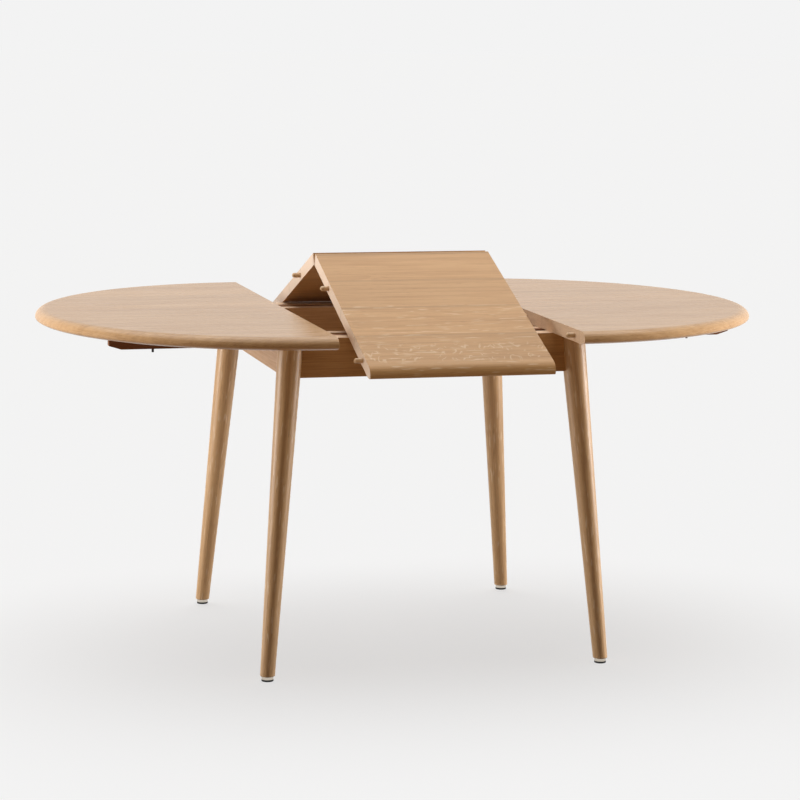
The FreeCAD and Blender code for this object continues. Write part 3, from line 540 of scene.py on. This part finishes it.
def nut_solid(tree, given):
    """A hexagon nut with rounded-off corners, its lower face at the origin."""
    thickness = given["Thickness"]
    to_corners = 2 * math.cos(math.pi / 6)
    corner = add(tree, "ShaderNodeMath", {0: given["Across Flats"], 1: to_corners}, operation="DIVIDE")
    hexagon = {"Vertices": 6, "Radius": corner, "Depth": thickness}
    block = add(tree, "GeometryNodeMeshCylinder", hexagon)
    ball_radius = add(tree, "ShaderNodeMath", {0: corner, 1: NUT_ROUNDING}, operation="MULTIPLY")
    sphere = {"Segments": BALL_SEGMENTS, "Rings": BALL_RINGS, "Radius": ball_radius}
    ball = add(tree, "GeometryNodeMeshUVSphere", sphere)
    rounded = add(tree, "GeometryNodeMeshBoolean", {"Mesh 2": [block, ball]}, **KEEP_COMMON)
    bore_radius = add(tree, "ShaderNodeMath", {0: given["Bore Diameter"], 1: 2}, operation="DIVIDE")
    right_through = add(tree, "ShaderNodeMath", {0: thickness, 1: 2}, operation="MULTIPLY")
    drill = {"Vertices": BORE_SIDES, "Radius": bore_radius, "Depth": right_through}
    bore = add(tree, "GeometryNodeMeshCylinder", drill)
    drilled = add(tree, "GeometryNodeMeshBoolean", {"Mesh 1": rounded, "Mesh 2": bore}, **CUT_AWAY)
    half_thickness = add(tree, "ShaderNodeMath", {0: thickness, 1: 2}, operation="DIVIDE")
    return lifted(tree, drilled, half_thickness)


screw_tree = fastener_tree("wood_screws", (*WOOD_SCREW, "Length"), screw_solid)
bolt_tree = fastener_tree("leg_bolts", (*LEG_BOLT, "Length"), bolt_solid)
nut_tree = fastener_tree("leg_nuts", LEG_NUT, nut_solid)


def separate_solids(node):
    """The corner points of each solid of a CAD node, from a merged copy of its mesh."""
    shape = bmesh.new()
    shape.from_mesh(nodes[node].data)
    bmesh.ops.remove_doubles(shape, verts=shape.verts, dist=SAME_PLACE * MM)
    left = set(shape.verts)
    solids = []
    while left:
        edge = [left.pop()]
        found = []
        while edge:
            corner = edge.pop()
            found.append(corner.co[:])
            for line in corner.link_edges:
                other = line.other_vert(corner)
                if other in left:
                    left.remove(other)
                    edge.append(other)
        solids.append(np.array(found))
    shape.free()
    return solids


def long_solid(points):
    """The two end points of a long round solid, the thicker end first."""
    middle = points.mean(axis=0)
    axis = np.linalg.svd(points - middle)[2][0]
    along = (points - middle) @ axis
    ends = []
    for level in (along.min(), along.max()):
        rim = points[np.abs(along - level) < SAME_RIM * MM]
        centre = rim.mean(axis=0)
        ends.append((np.linalg.norm(rim - centre, axis=1).max(), centre))
    thick, thin = sorted(ends, key=lambda end: -end[0])
    return thick[1], thin[1]


def made_fasteners(tree, sizes, places, material):
    """A mesh of one kind of fastener, its sizes in millimetres, at (point, axis) places."""
    mesh = bpy.data.meshes.new("places")
    mesh.from_pydata([place / MM for place, axis in places], [], [])
    axes = mesh.attributes.new("axis", "FLOAT_VECTOR", "POINT")
    axes.data.foreach_set("vector", np.concatenate([axis for place, axis in places]))
    holder = bpy.data.objects.new("places", mesh)
    scene.collection.objects.link(holder)
    modifier = holder.modifiers.new("fasteners", "NODES")
    modifier.node_group = tree
    for item in tree.interface.items_tree:
        if item.in_out == "INPUT" and item.name in sizes:
            modifier[item.identifier] = float(sizes[item.name])
        elif item.name == "Material":
            modifier[item.identifier] = material
    seen = bpy.context.evaluated_depsgraph_get()
    made = bpy.data.meshes.new_from_object(holder.evaluated_get(seen), depsgraph=seen)
    bpy.data.objects.remove(holder)
    made.transform(Matrix.Scale(MM, 4))
    return made


def screws(node, kind, material):
    """Screws in the places of a CAD node's solids: each solid's thick end is the head's face."""
    ends = [long_solid(points) for points in separate_solids(node)]
    head_height = kind["Head Height"] * MM
    places = []
    for face, tip in ends:
        axis = (tip - face) / np.linalg.norm(tip - face)
        places.append((face + axis * head_height, axis))
    length = np.linalg.norm(ends[0][1] - ends[0][0]) / MM - kind["Head Height"]
    return made_fasteners(screw_tree, {**kind, "Length": length}, places, material)


def leg_bolts_and_nuts(material):
    """Bolts in the places of their CAD solids, and on each of them the nut nearest to its end."""
    nuts = [points.mean(axis=0) for points in separate_solids("leg_bolt_nuts")]
    bolts, turned_on = [], []
    for points in separate_solids("leg_bolts"):
        ends = long_solid(points)
        nut = min(nuts, key=lambda place: min(np.linalg.norm(place - end) for end in ends))
        near, far = sorted(ends, key=lambda end: np.linalg.norm(nut - end))
        length = np.linalg.norm(near - far)
        axis = (near - far) / length
        bolts.append((far, axis))
        turned_on.append((nut - axis * LEG_NUT["Thickness"] * MM / 2, axis))
    return [
        made_fasteners(bolt_tree, {**LEG_BOLT, "Length": length / MM}, bolts, material),
        made_fasteners(nut_tree, LEG_NUT, turned_on, material),
    ]


def fastener_piece(name, body, slot, replaced, meshes):
    """One piece for each body, from all its fasteners."""
    shape = bmesh.new()
    for mesh in meshes:
        shape.from_mesh(mesh)
    merged = bpy.data.meshes.new(name)
    shape.to_mesh(merged)
    shape.free()
    merged.materials.append(material_by_slot[slot])
    piece = bpy.data.objects.new(name, merged)
    scene.collection.objects.link(piece)
    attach(piece, body)
    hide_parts(*replaced)


zinc = material_by_slot["zinc_steel"]
nickel = material_by_slot["hinge_steel"]
frame_screws = ["corner_block_screws", "guide_screws", "leaf_bearer_screws"]
fastener_piece(
    "threaded_fasteners_frame",
    "frame",
    "zinc_steel",
    [*frame_screws, "leg_bolts", "leg_bolt_nuts"],
    [screws(node, WOOD_SCREW, zinc) for node in frame_screws] + leg_bolts_and_nuts(zinc),
)
for side in ("left", "right"):
    node = "runner_screws_" + side
    made = screws(node, WOOD_SCREW, zinc)
    fastener_piece("threaded_screws_" + side, side + "_top", "zinc_steel", [node], [made])
for side in ("front", "back"):
    node = "hinge_screws_" + side
    made = screws(node, HINGE_SCREW, nickel)
    fastener_piece("countersunk_screws_" + side, "leaf_" + side, "hinge_steel", [node], [made])


# Studio, in metres: a pale floor that runs out to a background of the same tone, broad soft lamps at
# both sides and above, and little light from behind the camera

BACKGROUND = "#f3f3f3"
FRONT_TO_BACK = {"From Min": -0.8, "From Max": 0.1, "To Min": 0.12, "To Max": 1}
FILL_LIGHT = "#ffddb4"
FILL_STRENGTH = 0.12
FLOOR_RADIUS = 60
FLOOR_SIDES = 96
FLOOR_STEADY_SHARE = 0.72     # how much of the floor's tone stays in full shadow
FLOOR_LIT = "#919395"         # the rest of its tone, which takes light and shadow
FLOOR_BOUNCE = "#997d5b"      # what it gives back to the table
LEGS = [f"leg_{row}_{side}" for row in ("front", "back") for side in ("left", "right")]
scene.view_settings.view_transform = "Standard"


def seen_directly(tree):
    """1 where the camera, a reflection or a view through glass sees it, and 0 for its light."""
    path = add(tree, "ShaderNodeLightPath").outputs
    sight = {0: path["Is Camera Ray"], 1: path["Is Glossy Ray"]}
    either = add(tree, "ShaderNodeMath", sight, operation="MAXIMUM")
    return add(tree, "ShaderNodeMath", {0: either, 1: path["Is Transmission Ray"]}, operation="MAXIMUM")


def studio_world():
    """The background's tone all round for the camera, dimmer towards the front in reflections."""
    world = bpy.data.worlds.new("studio")
    world.use_nodes = True
    scene.world = world
    tree = world.node_tree
    tree.nodes.clear()
    by_camera = add(tree, "ShaderNodeLightPath").outputs["Is Camera Ray"]
    direction = add(tree, "ShaderNodeTexCoord").outputs["Generated"]
    to_back = add(tree, "ShaderNodeSeparateXYZ", {"Vector": direction}).outputs["Y"]
    studio = add(tree, "ShaderNodeMapRange", {"Value": to_back, **FRONT_TO_BACK})
    strength = add(tree, "ShaderNodeMath", {0: studio, 1: by_camera}, operation="MAXIMUM")
    fill = add(tree, "ShaderNodeBackground", {"Color": srgb(FILL_LIGHT), "Strength": FILL_STRENGTH})
    seen = add(tree, "ShaderNodeBackground", {"Color": srgb(BACKGROUND), "Strength": strength})
    both = add(tree, "ShaderNodeMixShader", {0: seen_directly(tree), 1: fill, 2: seen})
    add(tree, "ShaderNodeOutputWorld", {"Surface": both})


def studio_floor():
    """Pale paper, whose tone is mostly steady, so that it meets the background."""
    mesh = bpy.data.meshes.new("floor")
    shape = bmesh.new()
    bmesh.ops.create_circle(shape, cap_ends=True, segments=FLOOR_SIDES, radius=FLOOR_RADIUS)
    shape.to_mesh(mesh)
    shape.free()
    made = bpy.data.objects.new("floor", mesh)
    scene.collection.objects.link(made)
    material, tree = new_material("studio_paper")
    bounce = add(tree, "ShaderNodeBsdfDiffuse", {"Color": srgb(FLOOR_BOUNCE)})
    steady = add(tree, "ShaderNodeEmission", {"Color": srgb(BACKGROUND), "Strength": FLOOR_STEADY_SHARE})
    lit = add(tree, "ShaderNodeBsdfDiffuse", {"Color": srgb(FLOOR_LIT)})
    seen = add(tree, "ShaderNodeAddShader", {0: steady, 1: lit})
    both = add(tree, "ShaderNodeMixShader", {0: seen_directly(tree), 1: bounce, 2: seen})
    add(tree, "ShaderNodeOutputMaterial", {"Surface": both})
    mesh.materials.append(material)
    return made


def overhead_lamp(name, azimuth, elevation, strength, spread):
    """A distant broad lamp. Azimuth is where it stands, from the front, towards the right."""
    lamp = bpy.data.lights.new(name, "SUN")
    lamp.energy = strength * math.pi
    lamp.angle = math.radians(spread)
    holder = bpy.data.objects.new(name, lamp)
    a, e = math.radians(azimuth), math.radians(elevation)
    to_lamp = Vector((math.sin(a) * math.cos(e), -math.cos(a) * math.cos(e), math.sin(e)))
    holder.rotation_euler = to_lamp.to_track_quat("Z", "Y").to_euler()
    scene.collection.objects.link(holder)


def side_softbox(name, place, width, height, power):
    """A softbox that faces the table from one side, out of the camera's sight."""
    lamp = bpy.data.lights.new(name, "AREA")
    lamp.shape = "RECTANGLE"
    lamp.size = width
    lamp.size_y = height
    lamp.energy = power
    holder = bpy.data.objects.new(name, lamp)
    holder.location = place
    holder.rotation_euler = Vector((place[0], 0, 0)).to_track_quat("Z", "Y").to_euler()
    holder.visible_camera = False
    scene.collection.objects.link(holder)
    return holder


def flag_for(softbox, pieces, state):
    """A flag beside a softbox, which lets its light reach only these pieces, or all but these."""
    flag = bpy.data.collections.new(softbox.name + "_flag")
    softbox.light_linking.receiver_collection = flag
    for piece in pieces:
        flag.objects.link(piece)
    for row in flag.collection_objects:
        row.light_linking.link_state = state


def side_light(side, place, width, height, power):
    """Light from one side. Its gloss is kept to legs and feet, because the flat tops would mirror it."""
    body = side_softbox(side + "_softbox", place, width, height, power)
    body.visible_glossy = False
    flag_for(body, [floor], "EXCLUDE")
    gleam = side_softbox(side + "_leg_gleam", place, width, height, power)
    gleam.visible_diffuse = False
    flag_for(gleam, [nodes[name] for name in (*LEGS, "foot_rings")], "INCLUDE")


studio_world()
floor = studio_floor()
overhead_lamp("overhead_softbox", azimuth=180, elevation=75, strength=0.8, spread=70)
side_light("left", place=(-2.6, 0.3, 0.85), width=1.1, height=1.5, power=57)
side_light("right", place=(2.6, -0.65, 0.8), width=1.1, height=1.3, power=74)


# Camera, fitted to the photograph's view

CAMERA_PLACE = Vector((-1540.9, -5812.9, 1461.2)) * MM
CAMERA_YAW = math.radians(14.95)
CAMERA_PITCH = math.radians(-8.694)
CAMERA_ROLL = math.radians(0.649)
CAMERA_LENS = 119.9
CAMERA_SENSOR = 36
CAMERA_REACH = 200


def photo_camera():
    sight = Vector((
        math.sin(CAMERA_YAW) * math.cos(CAMERA_PITCH),
        math.cos(CAMERA_YAW) * math.cos(CAMERA_PITCH),
        math.sin(CAMERA_PITCH),
    ))
    level = Vector((math.cos(CAMERA_YAW), -math.sin(CAMERA_YAW), 0))
    above = level.cross(sight)
    right = math.cos(CAMERA_ROLL) * level + math.sin(CAMERA_ROLL) * above
    up = -math.sin(CAMERA_ROLL) * level + math.cos(CAMERA_ROLL) * above
    data = bpy.data.cameras.new("photo_camera")
    data.lens = CAMERA_LENS
    data.sensor_width = CAMERA_SENSOR
    data.sensor_fit = "HORIZONTAL"
    data.clip_end = CAMERA_REACH
    camera = bpy.data.objects.new("photo_camera", data)
    turn = Matrix((right, up, -sight)).transposed()
    camera.matrix_world = Matrix.Translation(CAMERA_PLACE) @ turn.to_4x4()
    scene.collection.objects.link(camera)
    scene.camera = camera


photo_camera()
